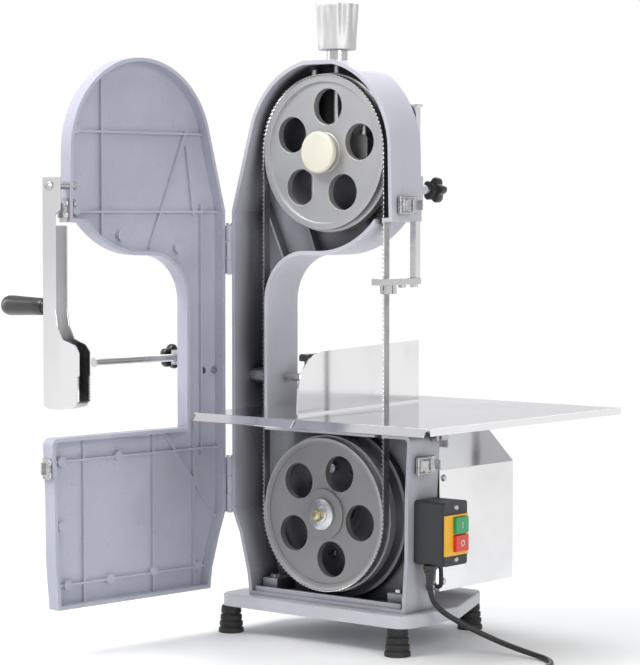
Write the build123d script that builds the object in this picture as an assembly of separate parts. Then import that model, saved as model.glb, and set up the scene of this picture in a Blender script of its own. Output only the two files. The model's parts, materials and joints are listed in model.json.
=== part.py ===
"""Bench-top butcher's band saw with its door standing open.

Frame: X to the right, Y to the back, Z up. Z = 0 is the bench, X = 0 passes through both
wheel axes and Y = 0 is the plane of the blade's tooth tips. The table is on the right of the
column. The door is hinged on the left and is drawn shut, then turned to its open rest angle.
"""

from build123d import *
import os
from math import cos, pi, radians, sin, tan

os.makedirs("parts", exist_ok=True)

# ---------------------------------------------------------------- driving dimensions, mm
WHEEL_R = 105.0            # 210 mm wheels
BLADE_LOOP = 1653.0        # length of the endless blade
BLADE_WIDE = 16.0
BLADE_THICK = 0.9
BLADE_GAP = 0.3            # running gap between the rim and the band
LOWER_Z = 176.2            # lower wheel axis
BLADE_R = WHEEL_R + BLADE_GAP + BLADE_THICK / 2
PITCH = (BLADE_LOOP - 2 * pi * BLADE_R) / 2
UPPER_Z = LOWER_Z + PITCH

FRONT_Y = -8.0             # parting plane of casting and door
BACK_Y = 57.0              # outside of the casting's back wall
WALL = 5.5
SEAT_Z = 55.0              # top of the base plate
DOME_R = 127.0
DOME_TOP = UPPER_Z + (DOME_R ** 2 - 25.0 ** 2) ** 0.5
LEFT_X = -155.0
COLUMN_X = -89.5           # throat side of the column
THROAT_R = 139.5           # underside of the wheel dome
THROAT_FILLET = 65.0
TIP_X, TIP_Z = 129.0, 577.0
LOWER_TOP = 294.0          # roof of the lower chamber

HINGE_X = -160.0
DOOR_DEPTH = 20.0
DOOR_GAP = 0.5
DOOR_OPEN = 94.5           # degrees open at rest

TABLE_Z = 323.8
TABLE_X = (-71.0, 323.0)
TABLE_Y = (-178.0, 250.0)
SHEET = 2.0
FOLD = 10.0                # 45 degree lip on the front edge
BLADE_SLOT = 4.0

BASE_Z = 38.0
FOOT_H = 38.0
FOOT_X, FOOT_FRONT_Y, FOOT_BACK_Y, FOOT_BACK_X = 148.0, -14.0, 220.0, 92.0

POST_X, POST_Y, POST_HALF = 113.0, 63.5, 5.0
ARM_TOP = 501.0
CLAMP_Z, KNOB_Z = (602.0, 638.0), 620.0

KNOB_Y = 35.0              # tension screw axis
CARRIAGE_Y = (31.0, 49.0)

PUSH_X = (138.5, 160.0)    # pusher channel with the door shut, outside faces
PUSH_Z = (331.0, 635.0)
PIVOT_Y, PIVOT_Z = -14.0, 624.5

GAUGE_Y, GAUGE_Z, GAUGE_R = -46.0, 387.0, 5.0
FENCE_ROD_Y, FENCE_ROD_Z, FENCE_ROD_R = 32.0, 360.0, 5.5
SWITCH_X = (157.3, 204.0)
SWITCH_Y = (5.0, 56.0)
SWITCH_Z = (122.0, 207.0)

CORD_R = 3.75
CORD_Z = CORD_R + 0.1      # cord axis where it lies on the bench
CORD_ROUTE = [
    (180.0, 10.0, 100.0), (180.0, 10.2, 86.0), (183.0, 13.6, 72.8), (189.5, 20.5, 61.5),
    (199.5, 30.5, 51.8), (213.0, 43.0, 41.0), (229.5, 57.0, 30.0), (249.0, 70.5, 19.5),
    (271.0, 81.0, 11.0), (296.0, 85.0, 5.4), (321.0, 78.0, CORD_Z), (342.0, 58.5, CORD_Z),
    (356.0, 30.0, CORD_Z), (364.0, -3.0, CORD_Z), (372.0, -37.0, CORD_Z),
    (384.0, -71.0, CORD_Z), (400.0, -103.0, CORD_Z), (414.0, -132.0, CORD_Z),
    (421.5, -160.0, CORD_Z), (422.5, -184.0, CORD_Z),
]
COIL_CENTRE, COIL_R = (377.5, -178.0), 45.0
COIL_WIDE, COIL_HIGH = 15.4, 21.0
PLUG_Z = 12.0

EX, EY, EZ = (1, 0, 0), (0, 1, 0), (0, 0, 1)


# ---------------------------------------------------------------- small builders
def block(x, y, z):
    """A box from its limits along each axis."""
    size = [b - a for a, b in (x, y, z)]
    return Pos(*[(a + b) / 2 for a, b in (x, y, z)]) * Box(*size)


def round_bar(start, direction, radius, length):
    """A cylinder that begins at start and runs along direction."""
    return Part() + Solid.make_cylinder(radius, length, Plane(origin=start, z_dir=direction))


def tube(start, direction, outer, inner, length):
    return round_bar(start, direction, outer, length) - round_bar(start, direction, inner, length)


def cone_bar(start, direction, first, last, length):
    return Part() + Solid.make_cone(first, last, length, Plane(origin=start, z_dir=direction))


def hex_bar(start, direction, across_flats, length):
    plane = Plane(origin=start, z_dir=direction)
    return extrude(plane * RegularPolygon(across_flats / 2, 6, major_radius=False), amount=length)


def bolt(seat, direction, shank, grip, head):
    """Hexagon bolt: the head stands on the seat, the shank runs the other way."""
    back = tuple(-c for c in direction)
    return hex_bar(seat, direction, head, head * 0.4) + round_bar(seat, back, shank, grip)


def pan_screw(seat, direction, radius, grip):
    back = tuple(-c for c in direction)
    head = cone_bar(seat, direction, radius * 2, radius * 1.4, radius * 1.1)
    return head + round_bar(seat, back, radius, grip)


def slab_xz(face, y_front, y_back):
    """Extrude a face drawn in X-Z between two Y planes."""
    return extrude(Plane.XZ.offset(-y_back) * face, amount=y_back - y_front)


def polygon(points):
    return make_face(Polyline(*points, close=True))


def star_knob(start, direction, radius, height, lobes=5):
    """Star grip with a boss at its foot, standing on start along direction."""
    plane = Plane(origin=start, z_dir=direction)
    scallop = radius * 0.34
    profile = Circle(radius)
    for i in range(lobes):
        a = 2 * pi * i / lobes
        profile -= Pos(radius * 1.08 * cos(a), radius * 1.08 * sin(a)) * Circle(scallop)
    grip = extrude(plane.offset(height * 0.35) * profile, amount=height * 0.65)
    return grip + round_bar(start, direction, radius * 0.5, height * 0.35)


def spun(solid, x, z, angle):
    """Turn a solid about the line along Y through (x, z)."""
    return solid.rotate(Axis((x, 0, z), EY), angle)


def shut_to_open(shape):
    """Turn a door piece from shut to its open rest place."""
    return shape.rotate(Axis((HINGE_X, FRONT_Y, 0), EZ), -DOOR_OPEN)


# ---------------------------------------------------------------- casting and door outline
def front_outline(bottom=SEAT_Z, column_x=COLUMN_X, lower_top=LOWER_TOP, left=LEFT_X, flat=25.0):
    """The C-shaped front of casting and door, drawn in X-Z; flat is half the level top."""
    shoulder = (flat, UPPER_Z + (DOME_R ** 2 - flat ** 2) ** 0.5)
    lean = (-121.0, UPPER_Z + (DOME_R ** 2 - 121.0 ** 2) ** 0.5)
    mid = radians(135)
    dome_left = (DOME_R * cos(mid), UPPER_Z + DOME_R * sin(mid))
    dome_right = (-dome_left[0], dome_left[1])
    tip_in = 102.0
    tip_in_z = UPPER_Z - (THROAT_R ** 2 - tip_in ** 2) ** 0.5
    under = (0.0, UPPER_Z - THROAT_R)
    swing = radians(-65)
    fillet_x = column_x + THROAT_FILLET
    under_end = (fillet_x, under[1])
    column_top = (column_x, under[1] - THROAT_FILLET)
    fillet_mid = (fillet_x - THROAT_FILLET * sin(pi / 4),
                  column_top[1] + THROAT_FILLET * cos(pi / 4))
    under_mid = (THROAT_R * cos(swing), UPPER_Z + THROAT_R * sin(swing))
    edges = [
        Line((-123, bottom), (-127, bottom + 30)),
        Line((-127, bottom + 30), (-141, 140)),
        Line((-141, 140), (left, 172)),
        Line((left, 172), (left, 591)),
        Line((left, 591), lean),
        ThreePointArc(lean, dome_left, (-shoulder[0], shoulder[1])),
        Line((-shoulder[0], shoulder[1]), shoulder),
        ThreePointArc(shoulder, dome_right, (DOME_R, UPPER_Z)),
        Line((DOME_R, UPPER_Z), (TIP_X, TIP_Z)),
        Line((TIP_X, TIP_Z), (tip_in, tip_in_z)),
        ThreePointArc((tip_in, tip_in_z), under_mid, under),
        Line(under, under_end),
        ThreePointArc(under_end, fillet_mid, column_top),
        Line(column_top, (column_x, lower_top)),
        Line((column_x, lower_top), (150, lower_top)),
        ThreePointArc((150, lower_top), (157.5, lower_top - 3), (160.5, lower_top - 10)),
        Line((160.5, lower_top - 10), (157, 217)),
        Line((157, 217), (156, 124)),
        Line((156, 124), (151, bottom)),
        Line((151, bottom), (-123, bottom)),
    ]
    return make_face(edges)


def inset(face, distance):
    return offset(face, -distance, kind=Kind.INTERSECTION)


def web_rib(a, b, thick, y):
    """A straight rib between two X-Z points, standing forward of the back wall."""
    dx, dz = b[0] - a[0], b[1] - a[1]
    size = (dx * dx + dz * dz) ** 0.5
    nx, nz = -dz / size * thick / 2, dx / size * thick / 2
    corners = [(a[0] + nx, a[1] + nz), (b[0] + nx, b[1] + nz),
               (b[0] - nx, b[1] - nz), (a[0] - nx, a[1] - nz)]
    return slab_xz(polygon(corners), *y)


def housing():
    outer = front_outline()
    cavity = slab_xz(inset(outer, WALL), FRONT_Y - 1, BACK_Y - WALL)
    body = slab_xz(outer, FRONT_Y, BACK_Y) - cavity
    inner_back = BACK_Y - WALL
    body += tube((0, inner_back - 12, LOWER_Z), EY, 118, 113, 12.5) & slab_xz(outer, 0, BACK_Y)
    for x in (-104, 118):
        body += block((x - 13, x + 13), (14, inner_back + 1), (SEAT_Z + 4, SEAT_Z + 22))
    body += block((-118, 140), (FRONT_Y + 6, FRONT_Y + 9), (SEAT_Z + 4, SEAT_Z + 12))
    ribs = (((-134, 600), (-97, 520)), ((-56, 572), (-41, 533)), ((-140, 655), (-100, 640)))
    for a, b in ribs:
        body += web_rib(a, b, 3.5, (inner_back - 14, inner_back + 1)) & slab_xz(outer, 0, BACK_Y)
    for x in (-44, 44):
        body += block((x - 9, x + 9), (KNOB_Y + 1, inner_back + 1), (585, 603))
    body -= round_bar((0, inner_back - 20, LOWER_Z), EY, 30, 60)
    body -= round_bar((0, KNOB_Y, UPPER_Z), EZ, 6.3, 160)
    for x in (-44, 44):
        body -= round_bar((x, CARRIAGE_Y[0] + 9, 590), EZ, 6.0, UPPER_Z - 474)
    body -= round_bar((LEFT_X - 5, FENCE_ROD_Y, FENCE_ROD_Z), EX, FENCE_ROD_R, 80)
    body -= block((100, 112), (FRONT_Y - 1, 22), (TIP_Z - 12, TIP_Z + 14))
    body -= block((100, 112), (FRONT_Y - 1, 22), (LOWER_TOP - WALL - 1, LOWER_TOP + 1))
    body -= round_bar((145, 44, 88), EX, 6.2, 20)
    return body


def base_plate():
    front, back = -26.0, 233.0
    left, right = -168.0, 165.0
    face = polygon([(left, front), (right, front), (right, 95), (102, back), (-105, back), (left, 95)])
    plate = extrude(Plane.XY.offset(BASE_Z) * face, amount=SEAT_Z - BASE_Z)
    corners = plate.edges().filter_by(Axis.Z)
    plate = fillet(corners.filter_by_position(Axis.Y, front - 1, front + 1), 22)
    rear = plate.edges().filter_by(Axis.Z).filter_by_position(Axis.Y, back - 1, back + 1)
    plate = fillet(rear, 14)
    plate = fillet(plate.faces().sort_by(Axis.Z)[-1].edges(), 3)
    for x, y in foot_places():
        plate -= round_bar((x, y, BASE_Z - 1), EZ, 5.0, 12)
    return plate


def foot_places():
    return [(-FOOT_X - 4, FOOT_FRONT_Y), (FOOT_X - 4, FOOT_FRONT_Y),
            (-FOOT_BACK_X, FOOT_BACK_Y), (FOOT_BACK_X, FOOT_BACK_Y)]


def foot(x, y):
    """Rubber foot: a cone in three ringed steps with a stud into the base."""
    steps = [(18.0, 0, 7), (17.0, 9, 7), (15.8, 18, 7), (14.6, 27, FOOT_H - 27)]
    body = cone_bar((x, y, 0), EZ, 16.0, 12.5, FOOT_H)
    for radius, low, high in steps:
        body += cone_bar((x, y, low), EZ, radius, radius - 1.0, high)
    return body + round_bar((x, y, FOOT_H - 1), EZ, 5.0, 10)


# ---------------------------------------------------------------- wheels and blade
def wheel(z, hole_start):
    rim = tube((0, 4.2, z), EY, WHEEL_R, WHEEL_R - 9, 23.8)
    flange = tube((0, BLADE_WIDE + 0.4, z), EY, WHEEL_R + 3.5, WHEEL_R - 1, 28 - BLADE_WIDE - 0.4)
    web = round_bar((0, 7.4, z), EY, WHEEL_R - 8, 10.6)
    hub = round_bar((0, 6, z), EY, 27, 22)
    body = rim + flange + web + hub
    for i in range(5):
        a = radians(90 - hole_start - 72 * i)
        x, up = 62.5 * cos(a), 62.5 * sin(a)
        body -= round_bar((x, 0, z + up), EY, 24.5, 40)
    return body


def blade():
    """Endless band round both wheels."""
    loops = []
    for extra, back in ((BLADE_THICK, BLADE_WIDE), (0, BLADE_WIDE)):
        r = WHEEL_R + BLADE_GAP + extra
        face = make_face([
            Line((r, LOWER_Z), (r, UPPER_Z)),
            ThreePointArc((r, UPPER_Z), (0, UPPER_Z + r), (-r, UPPER_Z)),
            Line((-r, UPPER_Z), (-r, LOWER_Z)),
            ThreePointArc((-r, LOWER_Z), (0, LOWER_Z - r), (r, LOWER_Z)),
        ])
        loops.append(slab_xz(face, 0, back))
    return loops[0] - loops[1]


def upper_wheel():
    return wheel(UPPER_Z, 5.5) - round_bar((0, 0, UPPER_Z), EY, 16.0, 40)


def lower_wheel():
    body = wheel(LOWER_Z, 24.9) + round_bar((0, 3.5, LOWER_Z), EY, 35, 5)
    return body - round_bar((0, 0, LOWER_Z), EY, 12.5, 40)


def upper_axle():
    step = round_bar((0, 30.0, UPPER_Z), EY, 14, 2)
    return round_bar((0, -2, UPPER_Z), EY, 8.0, 49.5) + step


def wheel_bearings():
    front = tube((0, 7, UPPER_Z), EY, 16.0, 8.05, 9)
    return front + tube((0, 18.5, UPPER_Z), EY, 16.0, 8.05, 9)


def wheel_cap():
    dome = round_bar((0, -10, UPPER_Z), EY, 28.5, 6)
    dome = fillet(dome.edges().sort_by(Axis.Y)[0], 2)
    return dome + tube((0, -4, UPPER_Z), EY, 22, 17, 10)


# ---------------------------------------------------------------- blade tension
def carriage():
    low, high = CARRIAGE_Y
    body = block((-56, 56), (low, high), (UPPER_Z - 24, UPPER_Z + 24))
    body = fillet(body.edges().filter_by(Axis.Y), 6)
    for x in (-44, 44):
        body -= round_bar((x, low + 9, UPPER_Z - 40), EZ, 6.05, 80)
    body -= round_bar((0, low - 1, UPPER_Z), EY, 8.0, 30)
    body -= round_bar((0, KNOB_Y, UPPER_Z + 2), EZ, 5.05, 40)
    return body - round_bar((0, low - 1, UPPER_Z), EY, 14.05, 1.2)


def guide_rods():
    rods = Part()
    for x in (-44, 44):
        rods += round_bar((x, CARRIAGE_Y[0] + 9, 590), EZ, 6.0, UPPER_Z - 474)
    return rods


def tension_screw():
    return round_bar((0, KNOB_Y, UPPER_Z + 16), EZ, 5.0, 855 - UPPER_Z - 16)


def tension_collar():
    return tube((0, KNOB_Y, DOME_TOP), EZ, 14.3, 5.05, 810 - DOME_TOP)


def tension_knob():
    """Fluted knob, a little wider at the top."""
    low, high = 810.3, 873.0
    body = cone_bar((0, KNOB_Y, low), EZ, 26, 30.5, high - low)
    body = fillet(body.edges().sort_by(Axis.Z)[-1], 3)
    for i in range(8):
        a = 2 * pi * i / 8
        x, y = 33 * cos(a), KNOB_Y + 33 * sin(a)
        body -= round_bar((x, y, low + 9), EZ, 5.5, 80)
    return body - round_bar((0, KNOB_Y, low - 1), EZ, 5.0, 45)


# ---------------------------------------------------------------- drive
def motor_shaft():
    return round_bar((0, 3.5, LOWER_Z), EY, 12.5, 200.5)


def motor_flange():
    ring = tube((0, BACK_Y, LOWER_Z), EY, 78, 13.5, 12)
    return ring + tube((0, BACK_Y - 6, LOWER_Z), EY, 30, 20, 7)


def motor_body():
    shell = tube((0, BACK_Y + 12, LOWER_Z), EY, 66, 14, 110)
    for i in range(24):
        a = 360 * i / 24
        fin = block((-1.2, 1.2), (BACK_Y + 18, BACK_Y + 116), (LOWER_Z + 64, LOWER_Z + 72))
        shell += spun(fin, 0, LOWER_Z, a)
    return shell


def motor_fan():
    fan = tube((0, 184, LOWER_Z), EY, 20, 12.5, 14)
    for i in range(8):
        fan += spun(block((-1, 1), (184, 198), (LOWER_Z + 18, LOWER_Z + 52)), 0, LOWER_Z, 45 * i)
    return fan


def fan_cover():
    start = BACK_Y + 123
    cup = round_bar((0, start, LOWER_Z), EY, 68, 30) - round_bar((0, start - 1, LOWER_Z), EY, 66, 29)
    for radius in (24, 40, 56):
        ring = tube((0, start + 20, LOWER_Z), EY, radius + 4, radius - 2, 20)
        for i in range(4):
            ring -= spun(block((-4, 4), (start, start + 60), (LOWER_Z, LOWER_Z + 80)), 0, LOWER_Z, 90 * i)
        cup -= ring
    return cup + tube((0, start - 1, LOWER_Z), EY, 68, 65.5, 4)


def motor_bolts():
    """Bolts of the motor flange, and one on each foot pad of the casting."""
    group = Part()
    for angle in (32, 72, 108, 148, 252, 288):
        a = radians(angle)
        seat = (62 * cos(a), BACK_Y - WALL, LOWER_Z + 62 * sin(a))
        group += bolt(seat, (0, -1, 0), 4.0, 12, 13)
    for x in (-104, 118):
        group += bolt((x, 26, SEAT_Z + 22), EZ, 4.0, 14, 13)
    return group


def wheel_clamp_washer():
    return round_bar((0, -2, LOWER_Z), EY, 21.5, 5.5) + round_bar((0, -4.5, LOWER_Z), EY, 12, 2.6)


def wheel_clamp_bolt():
    return hex_bar((0, -12, LOWER_Z), EY, 17, 7.6)


# ---------------------------------------------------------------- covers, table, fence
def motor_cover():
    """Bent sheet over the motor with a sloping right and left shoulder and a back sheet."""
    low, fold_z, top = 79.0, 243.0, 284.0
    left, right, lean = -146.0, 160.0, 41.0
    out = polygon([(left, low), (left, fold_z), (left + lean, top), (right - lean, top),
                   (right, fold_z), (right, low)])
    t = 1.5
    room = polygon([(left + t, low - 5), (left + t, fold_z - 0.6), (left + lean + 0.6, top - t),
                    (right - lean - 0.6, top - t), (right - t, fold_z - 0.6), (right - t, low - 5)])
    start, end = BACK_Y + 0.5, 228.0
    shell = slab_xz(out, start, end) - slab_xz(room, start - 1, end - t)
    for i in range(7):
        z = 120 + 14 * i
        shell -= block((-50, 50), (end - 5, end + 5), (z, z + 4))
    return shell


def cover_screws():
    group = Part()
    for x, direction in ((160.0, EX), (-146.0, (-1, 0, 0))):
        for z in (92, 232):
            group += pan_screw((x, 66, z), direction, 2.5, 4)
    return group


def table():
    """Folded sheet: flat top, a 45 degree lip in front, short down-turned sides and back."""
    (x0, x1), (y0, y1) = TABLE_X, TABLE_Y
    top = block((x0, x1), (y0, y1), (TABLE_Z - SHEET, TABLE_Z))
    lip_side = [(y0, TABLE_Z), (y0, TABLE_Z - SHEET), (y0 - FOLD + SHEET, TABLE_Z - SHEET - FOLD + 1),
                (y0 - FOLD, TABLE_Z - FOLD)]
    lip = extrude(Plane.YZ.offset(x0 + 6) * polygon(lip_side), amount=x1 - x0 - 12)
    sheet = top + lip
    sheet += block((x1 - SHEET, x1), (y0, y1), (TABLE_Z - 9, TABLE_Z))
    sheet += block((x0, x1), (y1 - SHEET, y1), (TABLE_Z - 9, TABLE_Z))
    slot_x = (WHEEL_R + BLADE_GAP - 1.4, WHEEL_R + BLADE_GAP - 1.4 + BLADE_SLOT)
    return sheet - block(slot_x, (y0 - 30, 20), (TABLE_Z - 30, TABLE_Z + 5))


def table_brackets():
    """Two Z-shaped cleats between the roof of the lower chamber and the table."""
    group = Part()
    low, high = LOWER_TOP, TABLE_Z - SHEET
    for x, reach in ((-66, 34), (118, 34)):
        group += block((x, x + reach), (0, 46), (low, low + 3))
        group += block((x, x + 3), (0, 46), (low, high))
        group += block((x, x + reach), (0, 46), (high - 3, high))
    return group


def table_bolts():
    group = Part()
    for x in (-46, 138):
        for y in (12, 34):
            group += bolt((x, y, LOWER_TOP + 3), EZ, 3.0, 8, 10)
    return group


def table_clamp():
    """Hand screw and tab that pull the table down on its right side."""
    tab = block((161.5, 186), (36, 58), (300, 303)) + block((161.5, 164.5), (36, 58), (284, 303))
    tab = tab + block((120, 164), (40, 54), (TABLE_Z - SHEET - 9, TABLE_Z - SHEET - 6))
    tab = tab + block((161, 164), (40, 54), (300, TABLE_Z - SHEET - 6))
    screw = round_bar((175, 47, 286), EZ, 4, 31)
    head = block((168, 182), (45.5, 48.5), (276, 290)) + round_bar((175, 47, 286), EZ, 7, 6)
    return tab + screw + head


def fence_line(y):
    """X of the fence's blade-side face at rest."""
    return 59.0 - 0.115 * y


def fence_plate():
    """Upright sheet with a curved nose, set a little askew of the blade."""
    nose, tail = -138.0, 170.0
    low, high = TABLE_Z + 2.5, TABLE_Z + 86
    run = tail - nose
    side = make_face([
        Line((0, low), (run, low)), Line((run, low), (run, high)),
        Line((run, high), (62, high - 4)),
        ThreePointArc((62, high - 4), (17, high - 22), (2, high - 50)),
        Line((2, high - 50), (0, low)),
    ])
    plate = extrude(Plane(origin=(0, 0, 0), x_dir=EY, z_dir=EX) * side, amount=2)
    lean = 6.56
    return Pos(fence_line(nose) - 2, nose, 0) * Rot(0, 0, lean) * plate


def fence_arm():
    """Tube that slides on the fixed rod and carries the plate."""
    end = fence_line(FENCE_ROD_Y) - 2.6
    start = -58.0
    rod_line = (FENCE_ROD_Y, FENCE_ROD_Z)
    body = tube((start, *rod_line), EX, 9.5, FENCE_ROD_R + 0.05, end - start)
    foot = block((end - 4, end - 0.4), (FENCE_ROD_Y - 24, FENCE_ROD_Y + 24), (340, 380))
    foot = foot - round_bar((end - 8, *rod_line), EX, FENCE_ROD_R + 0.05, 20)
    boss = tube((start + 12, FENCE_ROD_Y, FENCE_ROD_Z + 8), EZ, 7, 3, 8)
    drilled = round_bar((start + 12, FENCE_ROD_Y, FENCE_ROD_Z + 6), EZ, 3, 14)
    return body + foot.rotate(Axis((end, FENCE_ROD_Y, 0), EZ), 6.56) + boss - drilled


def fence_knob():
    x = -46.0
    grip = star_knob((x, FENCE_ROD_Y, FENCE_ROD_Z + 17), EZ, 15, 16)
    return grip + round_bar((x, FENCE_ROD_Y, FENCE_ROD_Z + 6.5), EZ, 2.95, 12)


def fence_rod():
    start = LEFT_X + 1
    return round_bar((start, FENCE_ROD_Y, FENCE_ROD_Z), EX, FENCE_ROD_R, 18.0 - start)


def fence_bush():
    return tube((LEFT_X + WALL, FENCE_ROD_Y, FENCE_ROD_Z), EX, 10.5, FENCE_ROD_R, 27)


# ---------------------------------------------------------------- blade guide
def guide_post():
    bar = block((POST_X - POST_HALF, POST_X + POST_HALF), (POST_Y - POST_HALF, POST_Y + POST_HALF),
                (ARM_TOP, 731))
    cap = block((POST_X - 8, POST_X + 8), (POST_Y - 6, POST_Y + 6), (731, 735))
    return bar + cap


def guide_arm():
    arm = block((POST_X - 14, POST_X + POST_HALF), (-14, POST_Y + 7), (ARM_TOP - 9, ARM_TOP))
    mid = WHEEL_R + BLADE_GAP + BLADE_THICK / 2
    return arm - block((mid - 2.2, mid + 2.2), (-10, BLADE_WIDE + 5), (ARM_TOP - 20, ARM_TOP + 5))


def guide_rollers():
    """Pair of hard blocks that steady the blade, and the pad behind it."""
    mid = WHEEL_R + BLADE_GAP + BLADE_THICK / 2
    z = (ARM_TOP - 21, ARM_TOP - 9)
    group = Part()
    for side in (-1, 1):
        x = sorted((mid + side * 1.0, mid + side * 6.0))
        group += block(x, (3, BLADE_WIDE - 1), z)
    return group + block((mid - 6, mid + 6), (BLADE_WIDE + 0.5, BLADE_WIDE + 9), z)


def guide_bolts():
    group = Part()
    for y in (POST_Y - 26, POST_Y):
        group += bolt((POST_X - 2, y, ARM_TOP - 9), (0, 0, -1), 3.5, 8, 10)
    return group


def post_clamp():
    """Strap over the post on the back of the casting, with a boss for the clamping screw."""
    back = POST_Y + POST_HALF + 2.3
    body = block((POST_X - 11, POST_X + 8), (BACK_Y, back), CLAMP_Z)
    body += round_bar((POST_X, back - 1, KNOB_Z), EY, 6.5, 14)
    body = body - block((POST_X - POST_HALF - 0.3, POST_X + POST_HALF + 0.3),
                        (POST_Y - POST_HALF - 0.3, POST_Y + POST_HALF + 0.3),
                        (CLAMP_Z[0] - 1, CLAMP_Z[1] + 1))
    return body - round_bar((POST_X, POST_Y, KNOB_Z), EY, 4.05, 40)


def clamp_bolts():
    group = Part()
    for z in (CLAMP_Z[0] + 7, CLAMP_Z[1] - 7):
        group += bolt((POST_X - 4, BACK_Y - WALL, z), (0, -1, 0), 3.0, 6, 8)
    return group


def post_knob():
    screw = round_bar((POST_X, POST_Y + POST_HALF + 0.5, KNOB_Z), EY, 4.0, 30)
    return screw + star_knob((POST_X, POST_Y + 31, KNOB_Z), EY, 18, 20)


# ---------------------------------------------------------------- door and what it carries
def door_shell():
    outer = front_outline(bottom=64, column_x=-80.0, lower_top=292, left=-153.0, flat=2.0)
    front, back = FRONT_Y - DOOR_GAP - DOOR_DEPTH, FRONT_Y - DOOR_GAP
    shell = slab_xz(outer, front, back) - slab_xz(inset(outer, 5.0), front + 4, back + 1)
    room = slab_xz(inset(outer, 3.0), front + 3, back - 3)
    rib_y = (front + 3, front + 9)
    lines = [((63, 800), (63, 540)), ((-160, 697), (140, 697)), ((-160, 590), (140, 590)),
             ((-89, 700), (-22, 540)), ((-91, 680), (-104, 585)),
             ((97, 300), (97, 60)), ((-27, 300), (-27, 60)), ((-103, 300), (-103, 60)),
             ((-160, 260), (165, 260)), ((-160, 94.5), (165, 94.5)), ((-45, 290), (-145, 160)),
             ((-118, 600), (-118, 250))]
    for a, b in lines:
        shell += web_rib(a, b, 3.0, rib_y) & room
    bosses = [(109, 700), (109, 592), (30, 558), (-74, 540), (137, 260), (37, 261), (127, 94.5),
              (53, 95), (-26, 97), (-109, 96), (137, 174)]
    for x, z in bosses:
        shell += round_bar((x, front + 2, z), EY, 6.5, 9) & room
    return shell


def door_hinge(z_low, z_high):
    """Door half: leaf on the rim's side wall and the two outer knuckles."""
    third = (z_high - z_low) / 3
    group = Part()
    for low in (z_low, z_high - third):
        knuckle = round_bar((HINGE_X, FRONT_Y, low + 0.3), EZ, 5.0, third - 0.6)
        arm = block((HINGE_X - 3, HINGE_X + 4), (FRONT_Y - 20, FRONT_Y), (low + 0.3, low + third - 0.3))
        group += knuckle + arm
    group += block((HINGE_X + 1, HINGE_X + 7), (FRONT_Y - 20, FRONT_Y - 6), (z_low + 0.3, z_high - 0.3))
    return group - round_bar((HINGE_X, FRONT_Y, z_low - 1), EZ, 3.05, z_high - z_low + 2)


def body_hinge(z_low, z_high):
    """Casting half: leaf on the left wall and the middle knuckle."""
    third = (z_high - z_low) / 3
    knuckle = round_bar((HINGE_X, FRONT_Y, z_low + third + 0.3), EZ, 5.0, third - 0.6)
    arm = block((HINGE_X - 3, HINGE_X + 5), (FRONT_Y, FRONT_Y + 16), (z_low + third + 0.3,
                                                                   z_high - third - 0.3))
    leaf = block((LEFT_X - 4, LEFT_X), (FRONT_Y + 7, FRONT_Y + 32), (z_low, z_high))
    return knuckle + arm + leaf - round_bar((HINGE_X, FRONT_Y, z_low - 1), EZ, 3.0, z_high - z_low + 2)


def hinge_pin(z_low, z_high):
    pin = round_bar((HINGE_X, FRONT_Y, z_low - 1), EZ, 3.0, z_high - z_low + 3)
    return pin + round_bar((HINGE_X, FRONT_Y, z_high + 0.3), EZ, 4.5, 3)


def hinge_screws():
    group = Part()
    for low, high in HINGES:
        for z in (low + 9, (low + high) / 2, high - 9):
            group += pan_screw((LEFT_X - 4, FRONT_Y + 24, z), (-1, 0, 0), 2.2, 7)
    return group


HINGES = [(168.0, 245.0), (503.0, 571.0)]


def door_keepers():
    """Hooks on the free edge of the door that the latch bails catch."""
    group = Part()
    for x, low, high in ((TIP_X, 576, 608), (159.7, 238, 266)):
        group += block((x, x + 2), (FRONT_Y - 20, FRONT_Y - 4), (low, high))
        group += block((x, x + 6), (FRONT_Y - 19, FRONT_Y - 16.5), (low + 6, high - 6))
    return group


def pusher_channel():
    """Channel that hangs outside the door's free edge, toothed where it meets the meat."""
    (x0, x1), (z0, z1) = PUSH_X, PUSH_Z
    web_y, narrow, wide = FRONT_Y - 19, FRONT_Y + 6, FRONT_Y + 52
    teeth = []
    z = 377.0
    while z > z0 + 12:
        teeth += [(wide, z), (wide - 3, z - 2)]
        z -= 4
    side = [(web_y, z0 + 4), (web_y, z1), (FRONT_Y + 16, z1), (FRONT_Y + 16, 594), (narrow, 586),
            (narrow, 462), (narrow + 4, 440), (narrow + 14, 424), (wide - 8, 417), (wide, 408)]
    side = side + teeth + [(wide - 8, z0 + 6), (web_y + 34, z0), (web_y + 10, z0)]
    profile = polygon(side)
    near = extrude(Plane.YZ.offset(x1 - 2) * profile, amount=2)
    far_room = block((0, 400), (-200, 200), (z0 - 1, 572))
    far = extrude(Plane.YZ.offset(x0) * profile, amount=2) & far_room
    web = block((x0, x1), (web_y, web_y + 2), (z0 + 4, 572)) + block((x1 - 4, x1), (web_y, web_y + 2),
                                                                   (571, z1))
    return near + far + web - round_bar((0, PIVOT_Y, PIVOT_Z), EX, 4.05, 300)


def pusher_pivot():
    """Shouldered bolt, distance tube and nut that carry the pusher."""
    body = cone_bar((PUSH_X[1] + 0.3, PIVOT_Y, PIVOT_Z), EX, 7, 5, 4)
    body += round_bar((120, PIVOT_Y, PIVOT_Z), EX, 4.0, PUSH_X[1] - 119)
    body += tube((TIP_X - 0.6, PIVOT_Y, PIVOT_Z), EX, 5.2, 4, PUSH_X[1] - 2.3 - TIP_X + 0.6)
    washer = round_bar((TIP_X - 8.4, PIVOT_Y, PIVOT_Z), EX, 5.0, 2.2)
    return body + washer + hex_bar((TIP_X - 13.4, PIVOT_Y, PIVOT_Z), EX, 9.5, 5.0)


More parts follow.
